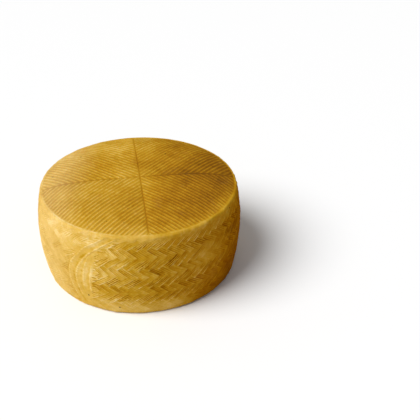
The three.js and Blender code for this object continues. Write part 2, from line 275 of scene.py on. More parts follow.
def lightness(places):
    """How light or dark the rind is painted, from -1 to 1: in patches on the side, on the faces and the rim.
    Besides the rind's own tone and wear, it holds painted light on the left of the side, painted shade on
    its right and on the right of the faces, and a painted highlight on the rim.
    """
    angle = np.degrees(np.arctan2(places[:, 0], -places[:, 1]))
    radius = np.hypot(places[:, 0], places[:, 1])
    depth = SIDE_HEIGHT - places[:, 2]
    on_side = smoothstep(radius, PATTERN_RADIUS - 1, PATTERN_RADIUS + 1)
    side = WORN_LIGHT * (1 - print_left(angle, np.clip(depth, 0, SIDE_HEIGHT)))
    # Patches of the rind's own tone, with painted light on the left and painted shade on the right of the
    # side
    for *place, amount in TONE_LIGHT_AND_SHADE_PATCHES:
        side = side + amount * (1 - smoothstep(away_from(angle, depth, *place), 0, 1))
    to_right = places[:, 0]
    face = FACE_LIGHT + FACE_OUTER_LIGHT * smoothstep(radius, 55, PATTERN_RADIUS)
    # Painted light and shade on the faces: darker towards the right, away from the lamp, and a painted
    # shadow over their right part
    face = face - FACE_LIGHT_FALLOFF * to_right / BELLY_RADIUS - FACE_SHADE * smoothstep(to_right, *SHADE_ENDS)
    glow = smoothstep(radius, *GLOW_RADII) * smoothstep(np.abs(angle - GLOW_ANGLE), *GLOW_REACH)
    light = on_side * side + (1 - on_side) * (face + GLOW * glow)
    # Pale rim, mostly a painted highlight that is brightest on the side towards the lamp
    rim = smoothstep(radius, *RIM_START) * (1 - smoothstep(radius, *RIM_END))
    rim = rim * at_least(0.1, np.maximum(0, np.cos(np.radians(angle - RIM_HIGHLIGHT_ANGLE))))
    chipped = smoothstep(ripple(places, 7, 51) + 0.5 * ripple(places, 20, 52), -1.2, 0.8)
    return np.clip(light + RIM_PALE_AND_HIGHLIGHT * rim * chipped, -1, 1)


def unevenness(angle, depth):
    """Slow unevenness of a handmade wheel, as a change of radius."""
    turn = np.radians(angle)
    swell = 0.6 * np.sin(2 * turn + 0.7) + 0.5 * np.sin(5 * turn + depth / 31)
    return UNEVEN * (swell + 0.4 * np.sin(9 * turn - depth / 17 + 2))


def side_places(angle, depth, height):
    """Points on the barrel-shaped side, stood out from the rind by a height."""
    even = round_wheel(angle, depth)
    shift = 0.45 * ripple(even, 34, 11)
    lift = 0.35 * ripple(even, 30, 12) * smoothstep(np.minimum(depth, SIDE_HEIGHT - depth), 1, 9)
    dents = 0.05 * ripple(even, 5, 13) + 0.1 * ripple(even, 13, 14)
    low = depth + lift
    barrel = BELLY_RADIUS - (BELLY_RADIUS - EDGE_RADIUS) * (2 * low / SIDE_HEIGHT - 1) ** 2
    radius = barrel + unevenness(angle, depth) + height + dents
    return round_wheel(angle + np.degrees(shift / BELLY_RADIUS), low, radius)


def corner_depth(level):
    """Depth of a level. The first levels are closer together, to stay below the shoulder."""
    even_depth = FIRST_CORNER + EVEN_LEVEL * RISE
    share = np.minimum(level / EVEN_LEVEL, 1)
    return HIGHEST_CORNER + (even_depth - HIGHEST_CORNER) * share + np.maximum(level - EVEN_LEVEL, 0) * RISE


def corner_angle(column):
    return PLAIT_START + column * STEP


class Skin:
    """The rind's points and faces. Each face corner has the strand's own coordinates, in millimetres,
    and four marks: how far the rind is rubbed pale, which on crests is also a painted highlight, and how far
    it is stained, which in tucked places and grooves is also painted shade, how much the fibres show, and
    the strand's tone."""

    def __init__(self):
        self.places = []
        self.faces = []
        self.coordinates = []
        self.marks = []
        self.count = 0

    def add(self, places):
        first = self.count
        self.places.append(places.reshape(-1, 3))
        self.count += self.places[-1].shape[0]
        return np.arange(first, self.count).reshape(places.shape[:-1])

    def draw(self, faces, coordinates, marks):
        self.faces.append(np.asarray(faces).reshape(-1, 3))
        self.coordinates.append(np.asarray(coordinates, float).reshape(-1, 3, 2))
        self.marks.append(np.asarray(marks, float).reshape(-1, 3, 4))

    def draw_grid(self, ids, coordinates, marks, flip=False):
        """Two triangles for each mesh of a grid. Rows go down and columns to the right as seen
        from outside."""
        near, far = slice(None, -1), slice(1, None)
        corners = ((near, near), (far, near), (far, far), (near, far))
        points = [ids[..., r, c] for r, c in corners]
        spots = [coordinates[..., r, c, :] for r, c in corners]
        tints = [marks[..., r, c, :] for r, c in corners]
        for turn in ((0, 1, 2), (0, 2, 3)):
            order = turn[::-1] if flip else turn
            parts = [np.stack([values[k] for k in order], axis)
                     for values, axis in ((points, -1), (spots, -2), (tints, -2))]
            self.draw(*parts)


def ridge_share(ridge, depth):
    """How far a ridge stands up at a depth, from 0 to 1."""
    start, end = ridge[4], ridge[5]
    rise = smoothstep(depth, start - RIDGE_FADE / 2, start + RIDGE_FADE / 2)
    return rise * (1 - smoothstep(depth, end - RIDGE_FADE, end + RIDGE_FADE))


def ridge_angle(ridge, depth):
    angle, turn, above, below, _, _ = ridge
    return angle + (above if depth < turn else below) * (depth - turn) ** 2


def cut_columns(side):
    """The column at which the plait ends beside the ridges, for each level: as near to the ridges as
    the lattice allows. The side is 1 to the right of the ridges and -1 to the left."""
    def is_clear(column, level):
        depth = corner_depth(level)
        for k, ridge in enumerate(RIDGES):
            away = side * (corner_angle(column) - ridge_angle(ridge, depth))
            room = RIDGE_ROOM * (len(RIDGES) - 1 - k) if side > 0 else 0
            is_gone = k >= LONG_RIDGES and ridge_share(ridge, depth) < FAINT
            if not is_gone and away <= CUT_REACH + room:
                return False
        return True

    levels = range(LAST_LEVEL + 1) if side > 0 else range(LAST_LEVEL, -1, -1)
    column = levels[0] % 2 - side * STRANDS
    while not is_clear(column, levels[0]):
        column += 2 * side
    columns = {levels[0]: column}
    for level in levels[1:]:
        column += -side if is_clear(column - side, level) else side
        columns[level] = column
    return columns


RIGHT_CUT = cut_columns(1)
LEFT_CUT = cut_columns(-1)


def in_plait(column, level):
    right = RIGHT_CUT[level]
    turned = column - ROUND * math.floor((column - right) / ROUND)
    return turned <= LEFT_CUT[level] + ROUND


class Lattice:
    """Points of the plait, on a grid along the two ways in which the strands run. A whole step on
    that grid is the width of a strand."""

    def __init__(self, skin):
        self.skin = skin
        self.ids = {}

    def wrapped(self, fine_p, fine_q):
        rounds = np.floor_divide(fine_p + fine_q, ROUND * CELL_PARTS)
        return fine_p - rounds * STRANDS * CELL_PARTS, fine_q - rounds * STRANDS * CELL_PARTS

    def key(self, fine_p, fine_q):
        p, q = self.wrapped(fine_p, fine_q)
        return (p + KEY_SHIFT) * KEY_BASE + (q + KEY_SHIFT)

    def spot(self, fine_p, fine_q):
        """Angle and depth of a point."""
        p = fine_p // CELL_PARTS + CELL_SPLITS[fine_p % CELL_PARTS]
        q = fine_q // CELL_PARTS + CELL_SPLITS[fine_q % CELL_PARTS]
        return corner_angle(p + q), corner_depth(p - q)

    def corner(self, fine_p, fine_q):
        """The point at a grid place, which is made if no strand has it."""
        fine_p, fine_q = np.array(fine_p), np.array(fine_q)
        key = int(self.key(fine_p, fine_q))
        if key not in self.ids:
            angle, depth = self.spot(fine_p, fine_q)
            place = side_places(angle, depth, -STRAND_SINK * print_left(angle, depth))
            self.ids[key] = int(self.skin.add(place[None])[0])
        return self.ids[key]


def plait_cells():
    """Grid places of the first corners of the plait's unit squares, outside the folded end."""
    cells = []
    for level in range(1, LAST_LEVEL):
        for q in range(STRANDS):
            p = q + level
            if all(in_plait(a + b, a - b) for a in (p, p + 1) for b in (q, q + 1)):
                cells.append((p, q))
    return np.array(cells)


def strand_facts(cell_p, cell_q, share_p, share_q):
    """Of places in the plait's unit squares: the row, the strand's number, its lean, and the shares of
    its length and width, from its lower end and from its tucked left edge."""
    level = cell_p - cell_q
    row = (level - 1) // OVER
    from_end = OVER * (row + 1) - level
    leans_right = row % 2 == 0
    number = np.where(leans_right, cell_p, cell_q) % STRANDS
    along = (from_end + np.where(leans_right, share_q, 1 - share_p)) / OVER
    across = np.where(leans_right, share_p, share_q)
    return row, number, leans_right, along, across


def print_facts(angle, depth, cell_p, cell_q, share_p, share_q):
    """Height, marks and coordinates of the print at places in the plait."""
    row, number, leans_right, along, across = strand_facts(cell_p, cell_q, share_p, share_q)
    left = print_left(angle, depth)
    size = 0.75 + 0.5 * scatter(1, number, row)
    relief = np.interp(across, ACROSS_AT, ACROSS_HEIGHT) * np.interp(along, ALONG_AT, ALONG_HEIGHT)
    relief = relief * size * np.where(leans_right, 1, LEFT_LEAN_HEIGHT)
    height = (relief * STRAND_HEIGHT - STRAND_SINK) * left

    # Crests: rubbed pale, and also a painted highlight along the raised edge of the strand
    rubbed_and_highlit = np.interp(across, [0.6, 0.75, 0.9, 1], [0, 0.25, 1, 0.7])
    rubbed_and_highlit = rubbed_and_highlit * np.where(leans_right, 0.9 - 0.7 * smoothstep(along, 0.5, 1), 0.3 - 0.3 * along)
    rubbed_and_highlit = rubbed_and_highlit * at_least(0.5, scatter(5, number, row)) * left
    below_crest = 1 - smoothstep(across, 0.6, 0.9)
    # Tucked edges and strand ends: stained, and also painted shade where the raised edge beside them
    # overhangs
    tucked = np.clip(1 - across / 0.3, 0, 1)
    under_left = 0.15 + 0.45 * tucked * smoothstep(along, 0.1, 0.4) + 0.35 * smoothstep(along, 0.75, 1)
    under_left = (under_left + 0.3 * smoothstep(along, 0.3, 0.1)) * below_crest
    under_right = (0.25 * smoothstep(along, 0.2, 0.5) + 0.5 * smoothstep(along, 0.6, 0.95)) * below_crest
    under_right = under_right + 0.5 * tucked * smoothstep(along, 0, 0.3)
    stain_and_shade = np.clip(np.where(leans_right, under_left, under_right), 0, 1)
    stain_and_shade = stain_and_shade * at_least(0.3, scatter(3, number, row)) * left
    hatched = smoothstep(along, 0, np.where(leans_right, 0.15, 0.5)) * (1 - smoothstep(along, 0.85, 1))
    fibres = at_least(0.2, scatter(4, number, row)) * hatched * np.where(leans_right, 1, 0.75)
    fibres = fibres * at_least(0.3, left)
    marks = np.stack(np.broadcast_arrays(rubbed_and_highlit, stain_and_shade, fibres, scatter(2, number, row)), -1)
    offset = np.stack([number * 3.7 + row * 11.3, number * 1.9 + row * 17.1], -1)
    spots = np.stack([across * STRAND_WIDTH, along * OVER * STRAND_UNIT], -1) + offset
    return height, marks, spots


def plait(skin):
    """Makes the plait, and returns the lattice of its points."""
    lattice = Lattice(skin)
    first_p, first_q = plait_cells().T[:, :, None, None]
    steps = np.arange(CELL_PARTS + 1)
    fine_p, fine_q = np.broadcast_arrays(
        first_p * CELL_PARTS + steps[:, None], first_q * CELL_PARTS + steps[None, :])
    angle, depth = lattice.spot(fine_p, fine_q)
    splits = np.broadcast_arrays(CELL_SPLITS[:, None], CELL_SPLITS[None, :])
    height, marks, spots = print_facts(angle, depth, first_p, first_q, *splits)

    keys = lattice.key(fine_p, fine_q)
    unique, where, back = np.unique(keys.ravel(), return_index=True, return_inverse=True)
    new = skin.add(side_places(*(values.ravel()[where] for values in (angle, depth, height))))
    lattice.ids = dict(zip(unique.tolist(), new.tolist()))
    skin.draw_grid(new[back.reshape(keys.shape)], spots, marks)
    return lattice


def print_at(angle, depth):
    """Height, marks and coordinates of the print at any places on the side."""
    levels = np.arange(LAST_LEVEL + 1)
    level = np.interp(depth, corner_depth(levels), levels)
    column = (angle - PLAIT_START) / STEP
    p, q = (column + level) / 2, (column - level) / 2
    cell_p, cell_q = np.floor(p).astype(int), np.floor(q).astype(int)
    return print_facts(angle, depth, cell_p, cell_q, p - cell_p, q - cell_q)


def fold_edge(lattice, cut):
    """Grid places down one edge of the folded end, from the upper to the lower border of the plait."""
    path = []
    for level in range(LAST_LEVEL):
        column, following = cut[level], cut[level + 1]
        p, q = (column + level) // 2 * CELL_PARTS, (column - level) // 2 * CELL_PARTS
        for part in range(CELL_PARTS):
            path.append((p + part, q) if following > column else (p, q - part))
    column = cut[LAST_LEVEL]
    path.append(((column + LAST_LEVEL) // 2 * CELL_PARTS, (column - LAST_LEVEL) // 2 * CELL_PARTS))
    return path


def ridge_places(depth, limit):
    """The ridges at a depth: middle angle, half width and share of each. A ridge that has faded out
    keeps a narrow place between its neighbour and the edge of the plait."""
    edge = -math.inf
    found = []
    for k, ridge in enumerate(RIDGES):
        share = float(ridge_share(ridge, depth)) * (1 if k < LONG_RIDGES else SHORT_SHARE)
        half = RIDGE_HALF_WIDTH * (FAINT_WIDTH + (1 - FAINT_WIDTH) * share)
        highest = limit - RIDGE_ROOM * (len(RIDGES) - k) + half
        middle = max(min(ridge_angle(ridge, depth), highest), edge + RIDGE_GAP + half)
        edge = middle + half
        found.append((middle, half, share))
    return found


def fold_row(depth, left_angle, right_angle):
    """Places between the two edges of the folded end at one depth: angle, height, share of the plait's
    print, how far it is rubbed, stained and stitched."""
    places = []
    feet = []
    for middle, half, share in ridge_places(depth, right_angle):
        for offset, height in RIDGE_PROFILE:
            above = RIDGE_HEIGHT * share * height
            rubbed_and_highlit = RIDGE_RUB * share * float(smoothstep(height, 0.3, 1))
            stained = RIDGE_STAIN * share if offset == -1 else 0
            stitched = share * float(smoothstep(abs(offset), 0.7, 0.4))
            places.append((middle + offset * half, above, 0, rubbed_and_highlit, stained, stitched))
        feet.append((middle - half, middle + half, share))
    for (_, foot, share), (next_foot, _, next_share) in zip(feet, feet[1:]):
        deep = max(share, next_share)
        for part, stained in GAP_STAINS:
            places.append((foot + (next_foot - foot) * part, -GAP_DEPTH * deep, 0, 0, stained * deep, 0))
    first, last = feet[0][0], feet[-1][1]
    for k in range(1, MARGIN_PARTS):
        share = k / MARGIN_PARTS
        reach = float(smoothstep(share * (first - left_angle), 0.1, 0.9))
        places.append((first - share * (first - left_angle), 0, reach, 0, 0, 0))
        reach = float(smoothstep(share * (right_angle - last), 0.1, 0.7))
        places.append((last + share * (right_angle - last), 0, reach, 0, 0, 0))
    row = np.array(sorted(places))
    row[:, 0] = np.clip(row[:, 0], left_angle + MARGIN_ROOM, right_angle - MARGIN_ROOM)
    row[:, 0] = np.maximum.accumulate(row[:, 0]) + 0.0005 * np.arange(len(row))
    return row


def folded_end(skin, lattice):
    """Fills the gap in the plait with the ridges, and returns its rows of points from the top down."""
    left_path, right_path = fold_edge(lattice, LEFT_CUT), fold_edge(lattice, RIGHT_CUT)
    rows, spots, tints = [], [], []
    for (left_p, left_q), (right_p, right_q) in zip(left_path, right_path):
        left_angle, depth = (float(v) for v in lattice.spot(np.array(left_p), np.array(left_q)))
        right_angle = float(lattice.spot(np.array(right_p), np.array(right_q))[0])
        angles, height, share, rubbed_and_highlit, stained, stitched = fold_row(depth, left_angle, right_angle).T
        printed, marks, _ = print_at(angles, depth)
        stitches = STITCH_HEIGHT * np.sin(2 * math.pi * depth / STITCH_PITCH) * stitched
        level = -STRAND_SINK / 2 * print_left(angles, depth)
        height = share * printed + (1 - share) * (level + height + stitches)
        fresh = skin.add(side_places(angles, depth, height))
        ends = lattice.corner(left_p, left_q), lattice.corner(right_p, right_q)
        rows.append([ends[0], *fresh.tolist(), ends[1]])
        whole = np.concatenate([[left_angle], angles, [right_angle]])
        spots.append(np.stack([np.full(len(whole), depth * 0.66), np.radians(whole) * BELLY_RADIUS], -1))
        dotted = at_least(0.3, smoothstep(ripple(round_wheel(angles, depth), 4, 21), -0.3, 0.5))
        fibres = STITCH_FIBRES * stitched
        own = np.stack([rubbed_and_highlit, stained * dotted, fibres, np.full(len(angles), 0.5)], -1)
        marks = share[:, None] * marks + (1 - share[:, None]) * own
        tints.append(np.concatenate([marks[:1], marks, marks[-1:]]))
    skin.draw_grid(np.array(rows), np.array(spots), np.array(tints))
    return rows


def border(lattice, outer_level, fold_row_ids):
    """Closed line of points along the upper or lower end of the side, in order of angle."""
    inner_level = outer_level + (1 if outer_level == 0 else -1)
    start = RIGHT_CUT[outer_level]
    columns = LEFT_CUT[outer_level] + ROUND - start
    line = []
    for k in range(columns):
        column = start + k
        level = outer_level if k % 2 == 0 else inner_level
        following = inner_level if k % 2 == 0 else outer_level
        p, q = (column + level) // 2 * CELL_PARTS, (column - level) // 2 * CELL_PARTS
        for part in range(CELL_PARTS):
            line.append(lattice.corner(*((p + part, q) if following > level else (p, q + part))))
    return line + list(fold_row_ids[:-1])


def stacked(skin):
    return np.concatenate(skin.places)


def shoulder(skin, line, profile, rough, flip):
    """Rings from a border of the side over the rounded shoulder, uneven at first and round at the
    last ring, which is returned."""
    start = stacked(skin)[line]
    angle = np.degrees(np.arctan2(start[:, 0], -start[:, 1]))
    first_radius = np.hypot(start[:, 0], start[:, 1])
    first_depth = SIDE_HEIGHT - start[:, 2]
    radius, depth = profile[0]
    swell = unevenness(angle, depth)
    rows = [np.array(line)]
    rings = [((first_radius + radius + swell) / 2 + 0.06, (first_depth + depth) / 2, 0.3)]
    for k, (radius, depth) in enumerate(profile):
        share = 1 - k / (len(profile) - 1)
        rings.append((radius + swell * at_least(0.15, share), np.full_like(angle, depth), share))
    for radius, depth, share in rings:
        even = round_wheel(angle, depth, radius)
        nick = (0.16 * ripple(even, 7, 31) + 0.2 * ripple(even, 24, 32)) * share
        sag = rough * ripple(even, 11, 33) * share
        rows.append(skin.add(round_wheel(angle, depth - sag, radius + nick)))
    ids = np.array(rows)
    ids = np.concatenate([ids, ids[:, :1]], 1)
    grid = stacked(skin)[ids]
    marks = np.broadcast_to(PLAIN_MARKS, (*ids.shape, 4))
    skin.draw_grid(ids, grid[..., [0, 2]], marks, flip)
    return ids[-1, :-1]


def zip_rows(skin, first, second, spots, marks, flip):
    """Fills the strip between two rows of (point, place) pairs, each in rising order of place."""
    faces = []
    i = j = 0
    while i < len(first) - 1 or j < len(second) - 1:
        ahead = j == len(second) - 1 or (i < len(first) - 1 and first[i + 1][1] <= second[j + 1][1])
        if ahead:
            faces.append((first[i][0], first[i + 1][0], second[j][0]))
            i += 1
        else:
            faces.append((first[i][0], second[j + 1][0], second[j][0]))
            j += 1
    faces = [face[::-1] for face in faces] if flip else faces
    face_spots = [[spots[n] for n in face] for face in faces]
    face_marks = [[marks[n] for n in face] for face in faces]
    skin.draw(faces, face_spots, face_marks)


def groove_lines(depth, profile, limit):
    """Lines along one quarter's grooves, from its middle out to a limit: offset, sink and crest."""
    lines = []
    k = 0
    while True:
        for phase, sink in profile:
            offset = (k + phase) * GROOVE_PITCH
            if offset >= limit:
                return lines
            lines.append((offset, sink * depth, 1 - sink))
        k += 1


def seam_reach(quarter, offset):
    """Distance from the pattern's centre at which the groove of an offset meets a quarter's seam."""
    return math.sqrt(2) * (SEAM_SPACING[quarter] * offset - SEAM_CLOSING[quarter] * offset ** 2)


def seam_offset(quarter, reach):
    """Offset of the groove that meets a quarter's seam at a distance."""
    whole = reach / math.sqrt(2)
    spacing, closing = SEAM_SPACING[quarter], SEAM_CLOSING[quarter]
    return 2 * whole / (spacing + math.sqrt(spacing ** 2 - 4 * closing * whole))


def direction(degrees):
    turn = math.radians(degrees)
    return np.array([math.cos(turn), math.sin(turn)])


def line_spot(start, way, bent, reach):
    """Place at a distance along a line that starts in a direction and slants off to the left of it."""
    side = np.array([-way[1], way[0]])
    return start + way * reach + side * (bent * reach)


def way_out(start, way, bent):
    """Distance along such a line to the border of the pattern."""
    low, high = 0.0, 2 * PATTERN_RADIUS
    for _ in range(40):
        middle = (low + high) / 2
        is_inside = np.hypot(*line_spot(start, way, bent, middle)) < PATTERN_RADIUS
        low, high = (middle, high) if is_inside else (low, middle)
    return low


def stations_along(offset, length, step):
    """Distances from its seam of the points on a groove's line, closer together at both ends."""
    evenly = [s - abs(offset) for s in np.arange(0, 160, step) if s > abs(offset) + 2.6]
    stations = [*SEAM_STATIONS, *[s for s in evenly if s < length - 6]]
    at_rim = [length - s for s in RIM_STATIONS if s < length - 1.8 or (s == 0 and length > 0.4)]
    return [s for s in stations if s < length - 1] + at_rim


def herringbone(skin, surface, depth, profile, step, flip):
    """Herringbone on one face. The lines of a quarter start on the two seams beside it, where they
    meet those of the next quarter, and end on the pattern's border. Returns the border in order."""
    spots, marks = {}, {}

    def place(spot, sink, rubbed_and_highlit, coordinates, stain_and_shade):
        even = np.array([spot[0], spot[1], 0.0])
        worn = 0.9 + 0.22 * ripple(even, 45, 41) - 0.4 * float(smoothstep(spot[1], -50, 30))
        point = surface(spot, sink * worn)
        n = int(skin.add(np.array([[spot[0], spot[1], point]]))[0])
        spots[n] = coordinates
        marks[n] = (rubbed_and_highlit, stain_and_shade, 0.0, 0.5)
        return n

    seams = []
    for quarter in range(4):
        way = direction(PATTERN_TURN + 90 * quarter)
        length = way_out(PATTERN_CENTRE, way, 0)
        lines = groove_lines(depth, profile, seam_offset(quarter, length - 0.5))[1:]
        lines.append((seam_offset(quarter, length), 0, 0.6))
        seam = []
        for offset, sink, crest in lines:
            reach = seam_reach(quarter, offset)
            start = PATTERN_CENTRE + way * reach
            fade = float(smoothstep(length - reach, 0, 5))
            deeper = max(sink, SEAM_DEPTH * depth) * fade
            n = place(start, deeper, 0.0, (offset, offset), fade)
            seam.append((offset, sink, crest, start, n))
        seams.append(seam)
    centre = (0.0, 0.0, 1.0, PATTERN_CENTRE, place(PATTERN_CENTRE, 0.5 * depth, 0.5, (0, 0), 0.5))

    edge = []
    for quarter in range(4):
        way = direction(PATTERN_TURN + 90 * quarter + 45 + QUARTER_TURN[quarter])
        rows = []
        right = [(-o, s, c, start, n) for o, s, c, start, n in reversed(seams[quarter])]
        for offset, sink, crest, start, n in [*right, centre, *seams[(quarter + 1) % 4]]:
            bent = -GATHER[quarter] * offset
            length = way_out(start, way, bent)
            row = [(n, abs(offset))]
            for reach in stations_along(offset, length, step):
                spot = line_spot(start, way, bent, reach)
                fade = float(smoothstep(length - reach, -0.5, 2.6))
                near_seam = math.exp(-(reach / SEAM_WIDTH) ** 2)
                down = max(sink, 0.5 * depth * near_seam) * fade
                # Groove crests are rubbed pale with a painted highlight; groove bottoms and seams are
                # stained with painted shade
                rubbed_and_highlit = 0.3 * crest ** 2 * fade * (1 - near_seam) + 0.1 * (1 - fade)
                stain_and_shade = max(0.4 * (1 - crest), 0.75 * near_seam) * fade
                row.append((place(spot, down, rubbed_and_highlit, (offset, reach), stain_and_shade), abs(offset) + reach))
            rows.append(row)
        for first, second in zip(rows, rows[1:]):
            zip_rows(skin, first, second, spots, marks, flip)
        edge += [row[-1][0] for row in rows[:-1]]
    return edge, spots, marks


def top_surface(spot, sink):
    """Height of the domed top at a place, with a groove sunk into it."""
    out = min(1.0, math.hypot(*spot) / PATTERN_RADIUS)
    above_rim = DOME_RISE * (1 - out ** DOME_POWER)
    return SIDE_HEIGHT + max(above_rim - sink, 0.15 * above_rim)


def base_surface(_, sink):
    """Height of the flat base at any place."""
    return sink


def join_rings(skin, outer, inner, spots, marks, flip):
    """Fills the strip between two closed rings of points."""
    places = stacked(skin)

    def placed(line):
        turn = np.arctan2(places[line, 0], -places[line, 1])
        start = int(np.argmin(turn))
        order = [*range(start, len(line)), *range(start)]
        pairs = [(line[k], turn[k]) for k in order]
        return [*pairs, (pairs[0][0], pairs[0][1] + 2 * math.pi)]

    for n in [*outer, *inner]:
        spots.setdefault(int(n), (places[n][0], places[n][1]))
        marks.setdefault(int(n), PLAIN_MARKS)
    first = [(int(n), t) for n, t in placed(list(outer))]
    second = [(int(n), t) for n, t in placed(list(inner))]
    zip_rows(skin, first, second, spots, marks, flip)


def build_wheel():
    skin = Skin()
    lattice = plait(skin)
    fold = folded_end(skin, lattice)
    upper = border(lattice, 0, fold[0])
    lower = border(lattice, LAST_LEVEL, fold[-1])
    top_ring = shoulder(skin, upper, TOP_SHOULDER, 0.15, True)
    base_ring = shoulder(skin, lower, BASE_SHOULDER, 0.0, False)
    top_edge, top_spots, top_marks = herringbone(
        skin, top_surface, TOP_DEPTH, TOP_PROFILE, TOP_STEP, False)
    join_rings(skin, top_ring, top_edge, top_spots, top_marks, False)
    base_edge, base_spots, base_marks = herringbone(
        skin, base_surface, BASE_DEPTH, BASE_PROFILE, BASE_STEP, True)
    join_rings(skin, base_ring, base_edge, base_spots, base_marks, True)
    return skin


def to_mesh(skin, name):
    places = stacked(skin)
    faces = np.concatenate(skin.faces)
    middle = (places.max(0) + places.min(0)) / 2
    places = (places - [middle[0], middle[1], places[:, 2].min()]) * MM
    mesh = bpy.data.meshes.new(name)
    mesh.vertices.add(len(places))
    mesh.vertices.foreach_set("co", places.ravel())
    mesh.loops.add(faces.size)
    mesh.loops.foreach_set("vertex_index", faces.ravel())
    mesh.polygons.add(len(faces))
    mesh.polygons.foreach_set("loop_start", np.arange(0, faces.size, 3))
    mesh.polygons.foreach_set("loop_total", np.full(len(faces), 3))
    mesh.polygons.foreach_set("use_smooth", np.ones(len(faces), bool))
    mesh.update(calc_edges=True)
    layer = mesh.uv_layers.new(name="strands")
    layer.uv.foreach_set("vector", np.concatenate(skin.coordinates).ravel())
    marks = mesh.attributes.new("print", "FLOAT_COLOR", "CORNER")
    marks.data.foreach_set("color", np.concatenate(skin.marks).ravel())
    light = mesh.attributes.new("lightness", "FLOAT", "POINT")
    light.data.foreach_set("value", lightness(stacked(skin)))
    mesh.validate()
    return mesh


SEED_STEP = 3.7
SMALLEST_SPOT = 0.45


class Shader:
    """Adds nodes to a material and joins them. Sizes are in millimetres."""

    def __init__(self, name):
        self.material = bpy.data.materials.new(name)
        self.material.use_nodes = True
        self.tree = self.material.node_tree
        self.surface = self.tree.nodes["Principled BSDF"]
        self.seed = 0.0

    def node(self, kind, **settings):
        made = self.tree.nodes.new(kind)
        for name, value in settings.items():
            setattr(made, name, value)
        return made

    def put(self, socket, value):
        if isinstance(value, bpy.types.NodeSocket):
            self.tree.links.new(value, socket)
        else:
            socket.default_value = value

    def math(self, operation, first, second=0.0):
        made = self.node("ShaderNodeMath", operation=operation)
        self.put(made.inputs[0], first)
        self.put(made.inputs[1], second)
        return made.outputs[0]

    def product(self, first, *others):
        for other in others:
            first = self.math("MULTIPLY", first, other)
        return first

    def total(self, start, *parts):
        """Sum of a number and of (value, weight) pairs."""
        for value, weight in parts:
            made = self.node("ShaderNodeMath", operation="MULTIPLY_ADD")
            for socket, part in zip(made.inputs, (value, weight, start)):
                self.put(socket, part)
            start = made.outputs[0]
        return start

    def mix(self, share, first, second):
        made = self.node("ShaderNodeMix", data_type="RGBA")
        self.put(made.inputs[0], share)
        self.put(made.inputs[6], first)
        self.put(made.inputs[7], second)
        return made.outputs[2]

    def ease(self, value, low, high, to_low=0.0, to_high=1.0):
        made = self.node("ShaderNodeMapRange", interpolation_type="SMOOTHSTEP")
        for k, part in enumerate((value, low, high, to_low, to_high)):
            self.put(made.inputs[k], part)
        return made.outputs[0]

    def stretched(self, place, size):
        made = self.node("ShaderNodeMapping")
        self.put(made.inputs["Vector"], place)
        made.inputs["Scale"].default_value = [1 / part for part in size]
        return made.outputs[0]

    def noise(self, place, size, detail=2.0, rough=0.55):
        """Noise about 0.5 whose swells are about size across."""
        self.seed += SEED_STEP
        made = self.node("ShaderNodeTexNoise", noise_dimensions="4D")
        self.put(made.inputs["Vector"], place)
        made.inputs["W"].default_value = self.seed
        made.inputs["Scale"].default_value = 1 / size
        made.inputs["Detail"].default_value = detail
        made.inputs["Roughness"].default_value = rough
        return made.outputs[0]

    def spots(self, place, cell, radius, share):
        """Small round spots, one in the given share of the cells."""
        self.seed += SEED_STEP
        made = self.node("ShaderNodeTexVoronoi", voronoi_dimensions="4D")
        self.put(made.inputs["Vector"], place)
        made.inputs["W"].default_value = self.seed
        made.inputs["Scale"].default_value = 1 / cell
        parts = self.node("ShaderNodeSeparateColor")
        self.put(parts.inputs[0], made.outputs["Color"])
        chosen = self.math("LESS_THAN", parts.outputs[0], share)
        size = self.math("MULTIPLY_ADD", parts.outputs[1], radius / cell)
        size.node.inputs[2].default_value = radius / cell * SMALLEST_SPOT
        near = self.math("LESS_THAN", made.outputs["Distance"], size)
        return self.math("MULTIPLY", chosen, near)


# Colours of the rind from its darkest stains and painted shade to its palest crests and painted
# highlights, as (place, colour)
RIND_COLOURS = [
    (0.0, (0.10, 0.034, 0.001, 1)),
    (0.2, (0.22, 0.086, 0.0015, 1)),
    (0.4, (0.36, 0.162, 0.003, 1)),
    (0.6, (0.49, 0.272, 0.015, 1)),
    (0.8, (0.63, 0.40, 0.08, 1)),
    (1.0, (0.80, 0.61, 0.27, 1)),
]
PLAIN_LIGHT = 0.18
FIBRE_PITCH = 1.8

# Colours mixed into it: in patches, in stained streaks, a painted sheen on the lit left of the side and
# painted warm shade on its right, on the top, and in small dots
TAN = (0.56, 0.31, 0.075, 1)
OLIVE = (0.14, 0.095, 0.006, 1)
PAINTED_SHEEN = (0.8, 0.65, 0.45, 1)
WARM_SHADE_TINT = (0.42, 0.07, 0.0, 1)
BLOOM = (0.3, 0.18, 0.08, 1)
MOULD = (0.035, 0.022, 0.008, 1)


